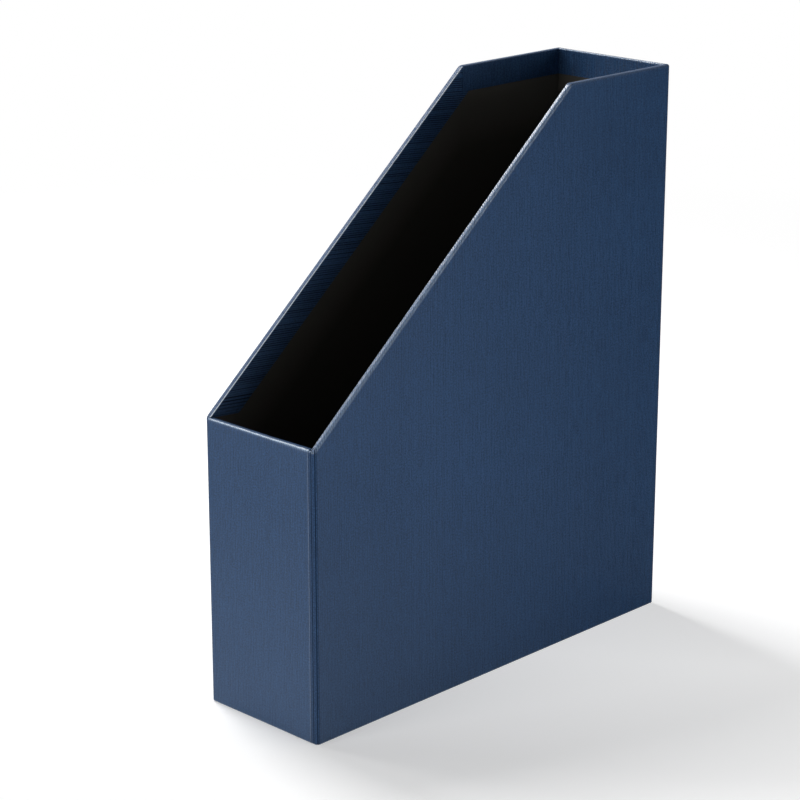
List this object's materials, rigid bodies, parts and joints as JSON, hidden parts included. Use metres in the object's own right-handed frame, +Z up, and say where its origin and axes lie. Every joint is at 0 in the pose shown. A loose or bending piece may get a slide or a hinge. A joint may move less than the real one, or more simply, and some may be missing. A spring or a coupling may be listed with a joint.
{
  "type": "magazine file",
  "caption": "Upright magazine file of paper-covered board, open at the top, with sides that slope from a high back down to a low front.",
  "frame": {"origin": "centre of the footprint, on the surface that the file stands on", "axes": "+Z up; -Y towards the low front; X across the file's narrow width"},
  "size_m": [0.082, 0.275, 0.32],
  "materials": {
    "cover_paper": "navy ribbed book paper, fine upright ribs, slight sheen",
    "lining_paper": "smooth matt black paper",
    "base_paper": "smooth matt black paper",
    "greyboard": "grey-brown recycled board, matt",
    "stay_tape": "brown gummed paper tape"
  },
  "bodies": {
    "root": {"front_board": "greyboard", "back_board": "greyboard", "left_side_board": "greyboard", "right_side_board": "greyboard", "base_board": "greyboard", "corner_stay_front_left": "stay_tape", "corner_stay_front_right": "stay_tape", "corner_stay_back_left": "stay_tape", "corner_stay_back_right": "stay_tape", "base_stay_front": "stay_tape", "base_stay_back": "stay_tape", "base_stay_left": "stay_tape", "base_stay_right": "stay_tape", "cover_wrap": "cover_paper", "base_sheet": "base_paper", "lining_left": "lining_paper", "lining_right": "lining_paper", "lining_front": "lining_paper", "lining_back": "lining_paper", "lining_base": "lining_paper"}
  },
  "joints": []
}
